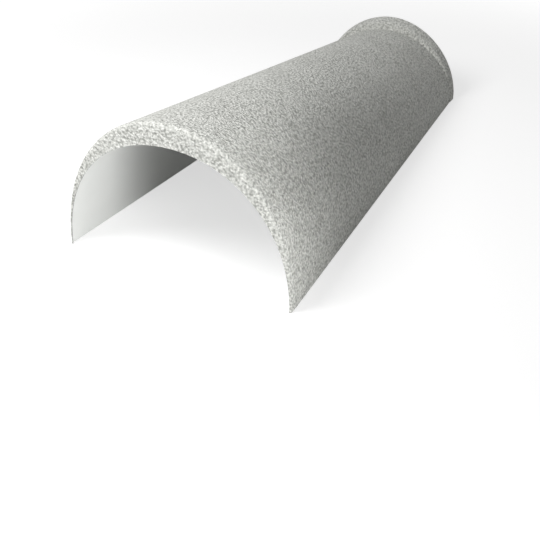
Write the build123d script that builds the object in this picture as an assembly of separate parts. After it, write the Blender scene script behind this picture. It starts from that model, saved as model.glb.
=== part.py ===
from build123d import *
from collections import namedtuple
import math
import os

os.makedirs("parts", exist_ok=True)

# Hip and ridge cap: a tapered half barrel pressed from one coated steel sheet.
# X runs across the cap, Y along the ridge from the wide front end to the narrow back end, Z up.
# The origin is midway along the cap, between its feet, in the plane that the feet rest on.

# Body, measured outside the sheet, in millimetres
length = 457.0          # whole cap, face of the nose to the end of the rim
sheet = 0.6             # thickness of the coated sheet
front_width = 203.0     # foot to foot at the wide end, before its bend is taken off
front_height = 128.0    # crown of the wide end, before its bend is taken off
back_width = 157.0      # foot to foot where the collar starts
back_height = 69.5      # crown where the collar starts

# How full the shoulders are: 0.707 is an ellipse, and more is squarer
front_fullness = 0.79
back_fullness = 0.65

# Nose: the front edge turned down across the end, deep at the crown and thin at the feet
nose_crown_depth = 18.3
nose_foot_depth = 2.0
nose_crown_radius = 4.0     # outside radius of the bend, measured down from the crown
nose_foot_radius = 1.4      # outside radius of the bend, measured in from a foot
nose_bend_length = 4.0      # how far the bend reaches back along the cap

# Collar: the back edge turned up as a water stop, then turned back as a short flared rim.
# It is highest at the crown and fades out towards the feet.
collar_crown_rise = 7.5
collar_foot_rise = 0.4
collar_bend_radius = 0.7    # inside radius of both collar bends at the crown
rim_length = 12.0           # face of the collar to the end of the rim
rim_crown_flare = 3.5       # how much further the rim climbs at the crown

# How finely the forms are drawn: flats in a right-angle bend, and spans along the body
bend_flats = 6
body_spans = 16
# How far the cutting shapes pass the faces that they open
cut_margin = 5.0

# An arch across the cap: half its width at the feet, its height and its fullness
Outline = namedtuple("Outline", "half_width crown fullness")


def drawn_in(outline, foot, crown):
    """The same arch, drawn in by so much at each foot and at the crown."""
    return Outline(outline.half_width - foot, outline.crown - crown, outline.fullness)


# The outside of the sheet at each place where its direction changes
front = Outline(front_width / 2, front_height, front_fullness)
mouth_edge = drawn_in(front, nose_foot_depth, nose_crown_depth)
back = Outline(back_width / 2, back_height, back_fullness)
collar_top = drawn_in(back, -collar_foot_rise, -collar_crown_rise)
rim_end = drawn_in(collar_top, 0, -rim_crown_flare)

# Distances from the face of the nose
collar_face = length - rim_length
collar_back = collar_face + sheet


def between(start, end, share):
    """The arch at a share of the way from one arch to another."""
    return Outline(*(a + (b - a) * share for a, b in zip(start, end)))


def body_at(y):
    """The outside of the body at a distance from the face of the nose."""
    return between(front, back, y / collar_face)


def rim_at(y):
    """The outside of the rim at a distance from the face of the nose."""
    return between(collar_top, rim_end, (y - collar_face) / rim_length)


def arch_face(outline, y, skirt):
    """Flat face inside an arch, closed straight across at a distance below its feet."""
    foot, crown, fullness = outline
    weights = [1, fullness, 1]
    right = Bezier((foot, 0), (foot, crown), (0, crown), weights=weights)
    left = Bezier((0, crown), (-foot, crown), (-foot, 0), weights=weights)
    if skirt > 0:
        base = Polyline((-foot, 0), (-foot, -skirt), (foot, -skirt), (foot, 0))
    else:
        base = Line((-foot, 0), (foot, 0))
    across = Plane(origin=(0, y - length / 2, 0), x_dir=(1, 0, 0), z_dir=(0, -1, 0))
    return across * make_face(right + left + base)


def solid_through(stations, skirt=0.0):
    """Solid that runs straight from each arch to the next."""
    return loft([arch_face(outline, y, skirt) for outline, y in stations], ruled=True)


def bend(face, reach, outside_at, inset, foot_pull, crown_pull):
    """Arches of a quarter-round bend between a face across the cap and a surface along it.

    The bend leaves the face at right angles and ends on the surface, `reach` further along,
    or nearer the nose where `reach` is negative. `outside_at` gives the sheet's outside there
    and `inset` is how far inside it the bent surface lies. The pulls are how far the bend
    draws the arch in from that surface at the face, negative where it turns outwards.
    """
    stations = []
    for step in range(bend_flats + 1):
        turn = math.radians(90 * step / bend_flats)
        y = face + reach * (1 - math.cos(turn))
        left_over = 1 - math.sin(turn)
        foot = inset + foot_pull * left_over
        crown = inset + crown_pull * left_over
        stations.append((drawn_in(outside_at(y), foot, crown), y))
    return stations


def body_stations(inset, nose_bend, collar_bend):
    """Arches of the whole body: its nose bend, even steps along it, and its collar bend."""
    steps = [collar_face * step / body_spans for step in range(1, body_spans)]
    middle = [(drawn_in(body_at(y), inset, inset), y) for y in steps]
    return nose_bend + middle + collar_bend[::-1]


# The hollow and the full side of each collar bend, which fade with the collar towards the feet
inner = collar_bend_radius
outer = collar_bend_radius + sheet
fade = collar_foot_rise / collar_crown_rise

# What the outside of the sheet encloses
body_outside = solid_through(body_stations(
    0,
    bend(0, nose_bend_length, body_at, 0, nose_foot_radius, nose_crown_radius),
    bend(collar_face, -inner, body_at, 0, -inner * fade, -inner),
))
rim_outside = solid_through(
    bend(collar_face, outer, rim_at, 0, outer * fade, outer) + [(rim_end, length)]
)

# What the inside of the sheet encloses, carried past the feet so that the underside is open
body_inside = solid_through(body_stations(
    sheet,
    bend(sheet, nose_bend_length - sheet, body_at, sheet, nose_foot_radius - sheet,
         nose_crown_radius - sheet),
    bend(collar_back, -outer, body_at, sheet, -outer * fade, -outer),
), cut_margin)
rim_inside = solid_through(
    bend(collar_back, inner, rim_at, sheet, inner * fade, inner)
    + [(drawn_in(rim_end, sheet, sheet), length)],
    cut_margin,
)

# The mouth that the nose leaves open
mouth = solid_through([(mouth_edge, -cut_margin), (mouth_edge, sheet + cut_margin)], cut_margin)

ridge_cap = body_outside + rim_outside - body_inside - rim_inside - mouth
ridge_cap.label = "ridge_cap"
export_step(ridge_cap, "parts/ridge_cap.step")
print("ridge_cap volume", round(ridge_cap.volume), "mm3, size", ridge_cap.bounding_box().size)
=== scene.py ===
# %% [markdown]
# # Hip and ridge cap
#
# The cap is one coated steel sheet, pressed into a tapered half barrel that covers the line where
# two slopes of a roof meet. The solid model of it is loaded first and stays where it is, as a
# fixed frame in metres, with the front end at -Y, the back end at +Y and the feet at height 0.
# Everything that follows dresses that solid, lights it and looks at it.

# %% Load the frame
import math
from collections import namedtuple

import bmesh
import bpy
from mathutils import Matrix, Vector


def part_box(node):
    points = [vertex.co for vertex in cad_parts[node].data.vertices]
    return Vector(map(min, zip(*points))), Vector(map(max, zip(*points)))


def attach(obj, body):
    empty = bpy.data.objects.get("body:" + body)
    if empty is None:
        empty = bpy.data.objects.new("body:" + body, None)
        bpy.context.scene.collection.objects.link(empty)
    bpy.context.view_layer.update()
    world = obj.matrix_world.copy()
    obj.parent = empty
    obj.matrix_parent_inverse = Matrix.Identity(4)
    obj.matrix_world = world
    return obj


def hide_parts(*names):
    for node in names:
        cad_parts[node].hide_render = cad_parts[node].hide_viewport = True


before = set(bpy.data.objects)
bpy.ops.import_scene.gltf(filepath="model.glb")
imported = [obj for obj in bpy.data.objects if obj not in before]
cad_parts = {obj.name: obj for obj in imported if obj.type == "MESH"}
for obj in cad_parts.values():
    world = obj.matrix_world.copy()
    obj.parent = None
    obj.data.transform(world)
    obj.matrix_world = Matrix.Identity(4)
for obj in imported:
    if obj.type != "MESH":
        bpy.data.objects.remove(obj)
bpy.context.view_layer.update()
lowest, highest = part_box("ridge_cap")
print("cap from", tuple(lowest), "to", tuple(highest))

# %% [markdown]
# ## Where the camera stands
#
# The camera comes first, because every later choice of grain and edge width depends on how large
# the cap is in the picture. A camera can be turned with three angles, but a place to stand and a
# point to look at are easier to read and to change. The camera looks down over the front end from
# the right and leans a little to one side. Its aim lies well under the cap, because the cap fills
# only the upper part of the picture.

# %% Camera
MM = 0.001
CAMERA_PLACE = Vector((325.5, -706.5, 386.6)) * MM
CAMERA_AIM = Vector((-33.0, 0.0, -136.3)) * MM
CAMERA_LEAN = math.radians(1.2)
CAMERA_LENS = 59.0  # millimetres, as is the sensor
CAMERA_SENSOR = 36.0


def in_scene(name, data):
    """A new object of the scene that shows this data."""
    thing = bpy.data.objects.new(name, data)
    bpy.context.scene.collection.objects.link(thing)
    return thing


camera_data = bpy.data.cameras.new("camera")
camera_data.lens = CAMERA_LENS
camera_data.sensor_width = CAMERA_SENSOR
camera = in_scene("camera", camera_data)
bpy.context.scene.camera = camera
look = (CAMERA_AIM - CAMERA_PLACE).to_track_quat("-Z", "Y").to_matrix()
lean = Matrix.Rotation(CAMERA_LEAN, 3, "Z")
camera.matrix_world = Matrix.Translation(CAMERA_PLACE) @ (look @ lean).to_4x4()
print("camera is", round((CAMERA_AIM - CAMERA_PLACE).length, 3), "m from the point it looks at")

# %% [markdown]
# ## The shape of the sheet
#
# The real cap starts as a flat blank, and a press forms it. Its shape can be told by a few arches
# that stand across the cap, each given by half its width at the feet, the height of its crown and
# how full its shoulders are. The sizes below are the sheet's outside, in millimetres. The arch
# itself is a conic curve: a quarter runs from a foot to the crown, and its fullness says how hard
# the curve is pulled towards the corner above the foot. A fullness of 0.707 gives an ellipse.
#
# Two arches give the body, from its wide front to its narrow back. One more is the edge of the
# turned-down nose, which leaves the mouth open, and two are the top of the turned-up collar and the
# end of its rim.

# %% Sizes of the cap
SHEET = 0.6
LENGTH = (highest.y - lowest.y) / MM
NOSE_FOOT_DEPTH, NOSE_CROWN_DEPTH = 2.0, 18.3
COLLAR_FOOT_RISE, COLLAR_CROWN_RISE = 0.4, 7.5
RIM_LENGTH = 12.0
RIM_CROWN_FLARE = 3.5
COLLAR_FACE = LENGTH - RIM_LENGTH

Arch = namedtuple("Arch", "half_width crown fullness")


def drawn_in(arch, foot, crown):
    """The same arch, drawn in by so much at each foot and at the crown."""
    return Arch(arch.half_width - foot, arch.crown - crown, arch.fullness)


FRONT = Arch(half_width=101.5, crown=128.0, fullness=0.79)
BACK = Arch(half_width=78.5, crown=69.5, fullness=0.65)
MOUTH = drawn_in(FRONT, NOSE_FOOT_DEPTH, NOSE_CROWN_DEPTH)
COLLAR_TOP = drawn_in(BACK, -COLLAR_FOOT_RISE, -COLLAR_CROWN_RISE)
RIM_END = drawn_in(COLLAR_TOP, 0, -RIM_CROWN_FLARE)


def between(start, end, share):
    """The arch at a share of the way from one arch to another."""
    return Arch(*(a + (b - a) * share for a, b in zip(start, end)))


def body_at(y):
    """The body's arch at a distance from the face of the nose."""
    return between(FRONT, BACK, y / COLLAR_FACE)


def rim_at(y):
    """The rim's arch at a distance from the face of the nose."""
    return between(COLLAR_TOP, RIM_END, (y - COLLAR_FACE) / RIM_LENGTH)


print("body", FRONT, "to", BACK, "over", round(COLLAR_FACE, 1), "mm")

# %% [markdown]
# ## The rows of the blank
#
# Follow the sheet from the edge of the mouth to the end of the rim. It climbs the flat crescent of
# the nose, turns a soft corner, runs back along the body, turns up the collar and turns back again
# along the rim. Each row of the mesh is one arch at one distance along the cap. Rows are close
# together where the sheet turns and further apart where it runs straight, because a smooth surface
# needs its points where the direction changes. A Bevel on sharp corners could round the bends too,
# but their radius changes from foot to crown, which is easier to say in rows.

# %% Bends and straight runs
BEND_STEPS = 8


def bend(face, reach, arch_at, depth, foot_pull, crown_pull):
    """Rows of a quarter-round bend, from a face across the cap to a surface along it."""
    rows = []
    for step in range(BEND_STEPS + 1):
        angle = math.radians(90 * step / BEND_STEPS)
        y = face + reach * (1 - math.cos(angle))
        foot, crown = (depth + pull * (1 - math.sin(angle)) for pull in (foot_pull, crown_pull))
        rows.append((drawn_in(arch_at(y), foot, crown), y))
    return rows


def straight(start, end, steps):
    """Even rows between two rows, without the two themselves."""
    (first, y), (last, far_y) = start, end
    shares = [step / steps for step in range(1, steps)]
    return [(between(first, last, share), y + (far_y - y) * share) for share in shares]


print("a bend has", BEND_STEPS + 1, "rows")

# %% [markdown]
# ## The two sides of the sheet
#
# The outside and the inside of the sheet follow the same path, one thickness apart. A Solidify
# modifier could push the outside inwards to make the inside, but where the collar's bends fade out
# at the feet they are tighter than the sheet is thick, and the pushed side would cross itself. So
# the inside gets rows of its own, in which every bend that is tight outside is wide inside, and the
# other way round.

# %% Rows from the mouth to the rim
NOSE_STEPS, BODY_STEPS, COLLAR_STEPS, RIM_STEPS = 4, 72, 3, 3

# The nose's bend outside: how far it reaches along the cap, and its radius at foot and crown
NOSE_BEND_LENGTH, NOSE_FOOT_RADIUS, NOSE_CROWN_RADIUS = 4.0, 1.4, 4.0
# The hollow side of both collar bends at the crown, and what is left of it at the feet
COLLAR_BEND_RADIUS = 0.7
COLLAR_FADE = COLLAR_FOOT_RISE / COLLAR_CROWN_RISE


def side_rows(depth):
    """Rows of the sheet's outside, at a depth of 0, or of its inside, at the sheet's thickness."""
    face = COLLAR_FACE + depth
    up = COLLAR_BEND_RADIUS + depth
    back = COLLAR_BEND_RADIUS + SHEET - depth
    mouth_edge = (MOUTH, depth)
    nose = bend(depth, NOSE_BEND_LENGTH - depth, body_at, depth,
                NOSE_FOOT_RADIUS - depth, NOSE_CROWN_RADIUS - depth)
    turn_up = bend(face, -up, body_at, depth, -up * COLLAR_FADE, -up)[::-1]
    turn_back = bend(face, back, rim_at, depth, back * COLLAR_FADE, back)
    rim_edge = (drawn_in(RIM_END, depth, depth), LENGTH)
    return [
        mouth_edge, *straight(mouth_edge, nose[0], NOSE_STEPS),
        *nose, *straight(nose[-1], turn_up[0], BODY_STEPS),
        *turn_up, *straight(turn_up[-1], turn_back[0], COLLAR_STEPS),
        *turn_back, *straight(turn_back[-1], rim_edge, RIM_STEPS), rim_edge,
    ]


print(len(side_rows(0)), "rows from the mouth to the rim")

# %% [markdown]
# ## Forming the blank
#
# The mesh repeats what the press does. Each side starts as a flat grid with one line of points for
# each row, and each point is carried to its place on its arch. An extruded outline would need its
# ends and its taper mended afterwards, and a grid has even four-sided faces from the start, which
# shade smoothly. The points stand at even steps of the conic, from the left foot over the crown to
# the right foot.

# %% Form both sides of the sheet
QUARTER_STEPS = 48  # faces from a foot to the crown


def on_arch(arch, share):
    """Across and up: a point of an arch, from the left foot at 0 to the right foot at 1."""
    climb = 1 - abs(2 * share - 1)
    foot_part = (1 - climb) ** 2
    corner_part = 2 * arch.fullness * climb * (1 - climb)
    crown_part = climb ** 2
    whole = foot_part + corner_part + crown_part
    across = arch.half_width * (foot_part + corner_part) / whole
    up = arch.crown * (corner_part + crown_part) / whole
    return math.copysign(across, share - 0.5), up


def form_side(mesh, rows):
    """Adds one side of the sheet to a mesh and gives its points."""
    # The grid reaches from -0.5 to 0.5 both ways, so adding 0.5 gives a share of the way
    last = len(rows) - 1
    grid = bmesh.ops.create_grid(mesh, x_segments=2 * QUARTER_STEPS, y_segments=last, size=0.5)
    for vert in grid["verts"]:
        arch, y = rows[round((vert.co.y + 0.5) * last)]
        across, up = on_arch(arch, vert.co.x + 0.5)
        vert.co = Vector((across, y - LENGTH / 2, up)) * MM
    return set(grid["verts"])


sheet_mesh = bmesh.new()
outside_verts = form_side(sheet_mesh, side_rows(0))
form_side(sheet_mesh, side_rows(SHEET))
print(len(sheet_mesh.faces), "faces on the two sides")

# %% [markdown]
# ## Closing the sheet
#
# The blank is cut with shears, which leaves an edge as wide as the sheet is thick. The faces of
# that edge could be filled in one by one, but Bridge Loops joins the open edges of the two sides
# all round in one step. The three kinds of face are then told apart by how many of their corners
# belong to the outside, and are remembered as material numbers: 0 for the outside, 1 for the
# inside and 2 for the sheared edge.

# %% Close the sheet
OUTSIDE, INSIDE, SHEARED = 0, 1, 2

open_edges = [edge for edge in sheet_mesh.edges if edge.is_boundary]
bmesh.ops.bridge_loops(sheet_mesh, edges=open_edges)
bmesh.ops.recalc_face_normals(sheet_mesh, faces=sheet_mesh.faces)
for face in sheet_mesh.faces:
    outside_corners = sum(vert in outside_verts for vert in face.verts)
    face.material_index = {4: OUTSIDE, 0: INSIDE}.get(outside_corners, SHEARED)
    face.smooth = True
print("sheet volume", round(sheet_mesh.calc_volume(signed=True) / MM ** 3), "mm3")

# %% [markdown]
# ## The corners of the sheared edges
#
# A small bevel takes the corners off around the mouth and the rim, because a perfectly sharp edge
# catches no light and looks drawn. A Bevel modifier could do it by angle, but here the edges are
# picked one by one: the feet stay square and are marked sharp. They stand on the floor, where no
# light reaches their corners, and a bevel would fold over itself where the collar's bends run out.

# %% Bevel the mouth and the rim
SHEARED_CORNER = 0.12

corners = [
    edge for edge in sheet_mesh.edges
    if len({face.material_index for face in edge.link_faces}) == 2
]
for edge in corners:
    edge.smooth = any(vert.co.z > 0 for vert in edge.verts)
bmesh.ops.bevel(
    sheet_mesh, geom=[edge for edge in corners if edge.smooth], offset=SHEARED_CORNER * MM,
    offset_type="OFFSET", segments=2, profile=0.5, affect="EDGES", material=-1,
)
kinds = [face.material_index for face in sheet_mesh.faces]
counts = [kinds.count(kind) for kind in (OUTSIDE, INSIDE, SHEARED)]
print("outside, inside and sheared faces", counts)

# %% [markdown]
# ## The piece
#
# The finished shape becomes an object at the origin, because its points already lie where the cap
# stands. A Weighted Normal modifier lets the large faces rule the shading, so that the narrow faces
# of the bevel and of the bends don't cast a false shade over the flat stretches beside them.

# %% Make the object


def finished(name, shape):
    """Turns a shape into an object of the scene, at the origin."""
    mesh = bpy.data.meshes.new(name)
    shape.to_mesh(mesh)
    shape.free()
    return in_scene(name, mesh)


cap = finished("coated_cap", sheet_mesh)
even_shading = cap.modifiers.new("even_shading", "WEIGHTED_NORMAL")
even_shading.keep_sharp = True
print("cap has", len(cap.data.polygons), "faces")

# %% [markdown]
# ## Writing materials as sums
#
# A material is a graph of small nodes. Wired by hand, a sum of three noises takes a page, so a
# small class stands for one output socket, and adding, subtracting or multiplying adds the Math
# node that does it. The order may be turned round too, so that 1 - wire works as wire - 1 does.

# %% Wires


class Wire:
    """An output socket. Arithmetic on it adds Math nodes to its material."""

    def __init__(self, finish, socket):
        self.finish = finish
        self.socket = socket

    def math(self, operation, first, second):
        return self.finish.node("ShaderNodeMath", {"operation": operation}, {0: first, 1: second})

    def __add__(self, other):
        return self.math("ADD", self, other)

    def __sub__(self, other):
        return self.math("SUBTRACT", self, other)

    def __rsub__(self, other):
        return self.math("SUBTRACT", other, self)

    def __mul__(self, other):
        return self.math("MULTIPLY", self, other)

    __radd__ = __add__
    __rmul__ = __mul__


print("a wire offers", [name for name in vars(Wire) if name.endswith(("add__", "sub__", "mul__"))])

# %% [markdown]
# ## Every other node
#
# The nodes that aren't sums come from one method, which takes the node's type, its settings, and
# the values or wires that go into it. A finish is the whole graph, from its first node to the
# shader that ends it.

# %% Finishes


class Finish:
    """The node graph of a material or of the sky, built node by node."""

    def __init__(self, owner):
        self.owner = owner
        owner.use_nodes = True
        self.tree = owner.node_tree
        self.tree.nodes.clear()

    def node(self, kind, settings=None, inputs=None, output=0):
        """Adds a node, sets it, fills its sockets and gives one of its outputs."""
        made = self.tree.nodes.new(kind)
        for setting, value in (settings or {}).items():
            setattr(made, setting, value)
        for socket, value in (inputs or {}).items():
            if isinstance(value, Wire):
                self.tree.links.new(value.socket, made.inputs[socket])
            else:
                made.inputs[socket].default_value = value
        return Wire(self, made.outputs[output]) if made.outputs else None

    def surface(self, sockets):
        """Ends a material with its shader and gives the material."""
        shader = self.node("ShaderNodeBsdfPrincipled", {}, sockets)
        self.node("ShaderNodeOutputMaterial", {}, {"Surface": shader})
        return self.owner


print("a finish offers", [name for name in vars(Finish) if not name.startswith("_")])

# %% [markdown]
# ## Patterns
#
# No real coat is even. A picture could show that, but the cap would have to be unwrapped for it,
# and it would blur close up. Noise is worked out from the place on the object, so it needs no
# unwrapping, stays sharp and moves with the cap. Its size is given in millimetres here, while
# Blender's Scale wants how many blobs fit into a metre.

# %% Noise


def place(finish):
    """Where a point is on the object, in metres."""
    return finish.node("ShaderNodeTexCoord", output="Object")


def noise(finish, size, detail, roughness):
    """Cloudy noise around 0.5, whose blobs are about this many millimetres across."""
    return finish.node(
        "ShaderNodeTexNoise", {"noise_dimensions": "3D"},
        {"Vector": place(finish), "Scale": 1 / (size * MM), "Detail": detail,
         "Roughness": roughness}, "Fac")


print("patterns:", noise.__name__)

# %% [markdown]
# ## Colour and relief
#
# A pattern is only a number at each place, and it shows in two ways: it mixes two colours, and it
# tilts the surface as a low relief would. Colours go through a Mix node, because a Math node would
# turn them grey.

# %% Colour and relief


def colour(red, green, blue):
    return (red, green, blue, 1.0)


def grey(level):
    return colour(level, level, level)


def mix(share, first, second):
    """One colour to another by a share."""
    return share.finish.node(
        "ShaderNodeMix", {"data_type": "RGBA"}, {0: share, 6: first, 7: second}, 2)


def bump(height, relief):
    """Surface direction from a height between 0 and 1, over a relief in millimetres."""
    return height.finish.node(
        "ShaderNodeBump", {}, {"Height": height, "Strength": 1.0, "Distance": relief * MM})


print("half white is", grey(0.5))

# %% [markdown]
# ## The granular coat outside
#
# The outside wears a light warm grey coat with a fine raised grain, as even as sand, and a faint
# cloudiness over a hand's width. The grain could be pressed into the mesh, but at about two
# millimetres it would take the better part of a million triangles, so it is bump. Two noises make
# it: grains, and rounder pebbles between them. Noise keeps to the middle third of its range, so
# the real relief is about a third of the one written here. The same height also paints shade into
# the hollows and light onto the tops, in the colour, so that the grain shows as if lit even where
# the light is flat. The cloudiness is the coat's real uneven tone.

# %% Granular coat
GRAIN, PEBBLE_TO_GRAIN, COAT_CLOUD = 1.9, 1.15, 60.0
GRAIN_SHARE, PEBBLE_SHARE, MEAN_HEIGHT = 0.75, 0.35, 0.55
GRAIN_RELIEF = 2.6
GRAIN_PAINTED_SHADING, CLOUD_CONTRAST = 3.0, 0.35
COAT_ROUGHNESS, GRAIN_GLOSS = 0.92, 0.16
# ends of the colour mix: painted shade in the grain's hollows, painted light on its tops, and the
# coat's real cloudy tone between them
COAT_PAINTED_SHADE_HOLLOWS, COAT_PAINTED_LIGHT_TOPS = colour(0.345, 0.35, 0.325), colour(0.825, 0.83, 0.79)


def from_pebble(finish, size):
    """Distance from the middle of the nearest pebble, 0 at its middle."""
    return finish.node(
        "ShaderNodeTexVoronoi", {"feature": "SMOOTH_F1"},
        {"Vector": place(finish), "Scale": 1 / (size * MM), "Smoothness": 0.6}, "Distance")


def granular_coat():
    finish = Finish(bpy.data.materials.new("granular_coat"))
    grain = noise(finish, GRAIN, detail=2.5, roughness=0.55)
    pebbles = 1 - from_pebble(finish, GRAIN * PEBBLE_TO_GRAIN)
    height = grain * GRAIN_SHARE + pebbles * PEBBLE_SHARE
    clouds = noise(finish, COAT_CLOUD, detail=2, roughness=0.5)
    # painted shade darkens the grain's hollows and painted light lifts its tops; the clouds are the
    # coat's real uneven tone
    painted_shade_and_tone = (height - MEAN_HEIGHT) * GRAIN_PAINTED_SHADING + (clouds - 0.5) * CLOUD_CONTRAST + 0.5
    return finish.surface({
        "Base Color": mix(painted_shade_and_tone, COAT_PAINTED_SHADE_HOLLOWS, COAT_PAINTED_LIGHT_TOPS),
        "Roughness": COAT_ROUGHNESS - grain * GRAIN_GLOSS,
        "Normal": bump(height, GRAIN_RELIEF),
    })


outside_coat = granular_coat()
print(outside_coat.name, "has", len(outside_coat.node_tree.nodes), "nodes")

# %% [markdown]
# ## The backer coat inside
#
# The underside of such sheet gets a thin plain coat, which nobody sees once the roof is on. It is
# smoother than the outside, pale and slightly satin, with the soft ripple that a roller leaves in
# wet paint. One flat colour would look like plastic, and the outside's pebbles would be far too
# rough, so a fine low noise makes the ripple and a wide one makes the paint thick and thin.

# %% Backer coat
RIPPLE, BACKER_CLOUD = 1.6, 45.0
RIPPLE_RELIEF = 0.05
BACKER_ROUGHNESS, RIPPLE_DULLING = 0.50, 0.12
BACKER_THIN, BACKER_THICK = colour(0.68, 0.69, 0.67), colour(0.78, 0.79, 0.77)


def backer_coat():
    finish = Finish(bpy.data.materials.new("backer_coat"))
    ripple = noise(finish, RIPPLE, detail=2, roughness=0.5)
    clouds = noise(finish, BACKER_CLOUD, detail=2, roughness=0.5)
    return finish.surface({
        "Base Color": mix(clouds, BACKER_THIN, BACKER_THICK),
        "Roughness": BACKER_ROUGHNESS + ripple * RIPPLE_DULLING,
        "Normal": bump(ripple, RIPPLE_RELIEF),
    })


inside_coat = backer_coat()
print(inside_coat.name, "has", len(inside_coat.node_tree.nodes), "nodes")

# %% [markdown]
# ## The bare steel of the sheared edge
#
# Shears leave bare steel along every edge: half of it is burnished and half is torn, so it is
# darker than the coat and uneven along its length. The two halves could be two rows of faces, but
# an edge this narrow never shows them apart. One noise for colour, roughness and relief is enough.

# %% Sheared steel
TEAR = 0.9
TEAR_RELIEF = 0.03
STEEL_ROUGHNESS, TEAR_DULLING = 0.42, 0.2
STEEL_METALLIC = 0.7
STEEL_TORN, STEEL_BURNISHED = colour(0.10, 0.10, 0.105), colour(0.24, 0.24, 0.25)


def sheared_steel():
    finish = Finish(bpy.data.materials.new("sheared_steel"))
    tear = noise(finish, TEAR, detail=3, roughness=0.6)
    return finish.surface({
        "Base Color": mix(tear, STEEL_TORN, STEEL_BURNISHED),
        "Metallic": STEEL_METALLIC,
        "Roughness": STEEL_ROUGHNESS + tear * TEAR_DULLING,
        "Normal": bump(tear, TEAR_RELIEF),
    })


edge_steel = sheared_steel()
print(edge_steel.name, "has", len(edge_steel.node_tree.nodes), "nodes")

# %% [markdown]
# ## Dressing the solid
#
# The three finishes go on in the order of the material numbers. The plain solid could have worn
# them too, but its bends are coarser and it has no faces set apart for the sheared edge. So the new
# piece takes its place in the picture and is tied to the same fixed body.

# %% Dress the cap
for material in (outside_coat, inside_coat, edge_steel):
    cap.data.materials.append(material)
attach(cap, "root")
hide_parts("ridge_cap")
print("cap wears", [material.name for material in cap.data.materials])

# %% [markdown]
# ## Floor and background
#
# The cap stands on a plain pale floor. The floor could be lit until it is white, but then its light
# would bounce back onto the cap. To the lamps it is an ordinary matt surface that takes the cap's
# shadow, and a glow, seen only by the camera and by reflections, lifts its lit part to the white of
# paper. The lamps stand near the cap, so the floor gets darker away from them, and the glow rises
# to full white there to hide its horizon.

# %% Floor
FLOOR_SIZE = 40.0  # metres, as are the two distances from the middle of the cap
GLOW_RISES, GLOW_FULL = 0.35, 1.1
FLOOR_GLOW, FLOOR_GREY, FLOOR_ROUGHNESS = 0.60, 0.52, 0.95


def seen_directly(finish):
    """1 for rays from the camera and for reflections and refractions, 0 for light."""
    rays = [
        finish.node("ShaderNodeLightPath", output=kind)
        for kind in ("Is Camera Ray", "Is Glossy Ray", "Is Transmission Ray")
    ]
    return rays[0] + rays[1] + rays[2]


def paper_floor():
    finish = Finish(bpy.data.materials.new("paper_floor"))
    away = finish.node(
        "ShaderNodeVectorMath", {"operation": "LENGTH"}, {0: place(finish)}, "Value")
    rise = finish.node(
        "ShaderNodeMapRange", {"interpolation_type": "SMOOTHSTEP"},
        {"Value": away, "From Min": GLOW_RISES, "From Max": GLOW_FULL})
    glow = mix(rise, grey(FLOOR_GLOW), grey(1))
    return finish.surface({
        "Base Color": grey(FLOOR_GREY),
        "Roughness": FLOOR_ROUGHNESS,
        "Emission Color": mix(seen_directly(finish), grey(0), glow),
        "Emission Strength": 1.0,
    })


floor_mesh = bmesh.new()
bmesh.ops.create_grid(floor_mesh, x_segments=1, y_segments=1, size=FLOOR_SIZE / 2)
floor = finished("floor", floor_mesh)
floor.data.materials.append(paper_floor())
print("floor is", FLOOR_SIZE, "m across")

# %% [markdown]
# ## Sky
#
# A faint even sky fills the shadows. A picture of a real sky could do that too, but it would tint
# one side and not the other. To the camera and to reflections it is as white as the floor, in the
# same way, so that no horizon shows.

# %% Sky
SKY_LIGHT = 0.30


def make_sky():
    world = bpy.data.worlds.new("sky")
    bpy.context.scene.world = world
    finish = Finish(world)
    strength = seen_directly(finish) * (1 - SKY_LIGHT) + SKY_LIGHT
    glow = finish.node("ShaderNodeBackground", {}, {"Color": grey(1), "Strength": strength})
    finish.node("ShaderNodeOutputWorld", {}, {"Surface": glow})


make_sky()
print("sky light", SKY_LIGHT)

# %% [markdown]
# ## Lamps
#
# A soft key lamp stands on the left, in front of the cap and above it. A sun would light both ends
# of the cap alike, but this lamp is near, so its light falls off over the crown towards the right
# and the back, as the shading of the drawing does. A small lamp low on the right shines into the
# mouth past the right foot, which leaves the inside light at its front edge and dark further in.
# Its spread is narrowed, as a grid on a studio lamp does it, and it is aimed a little in front of
# the cap, so that the right side outside catches only the dim edge of its beam.

# %% Lamps


def soft_lamp(name, place, aim, size, watts, spread):
    """A round lamp at a place, turned to a point. Places and sizes are in millimetres."""
    data = bpy.data.lights.new(name, "AREA")
    data.shape = "DISK"
    data.size = size * MM
    data.energy = watts
    data.spread = math.radians(spread)
    lamp = in_scene(name, data)
    lamp.location = Vector(place) * MM
    lamp.rotation_euler = (Vector(aim) - Vector(place)).to_track_quat("-Z", "Y").to_euler()


soft_lamp("key_lamp", place=(-300, -480, 620), aim=(-50, -130, 50),
          size=400, watts=5.2, spread=180)
soft_lamp("mouth_lamp", place=(460, -420, 110), aim=(-100, -340, 50),
          size=180, watts=0.39, spread=60)
print("lamps", [lamp.name for lamp in bpy.data.lights])

# %% [markdown]
# ## The colour view
#
# Colours are shown as they are, with the Standard view, because a filmic one would dull the white
# of the floor.

# %% Colour view
bpy.context.scene.view_settings.view_transform = "Standard"
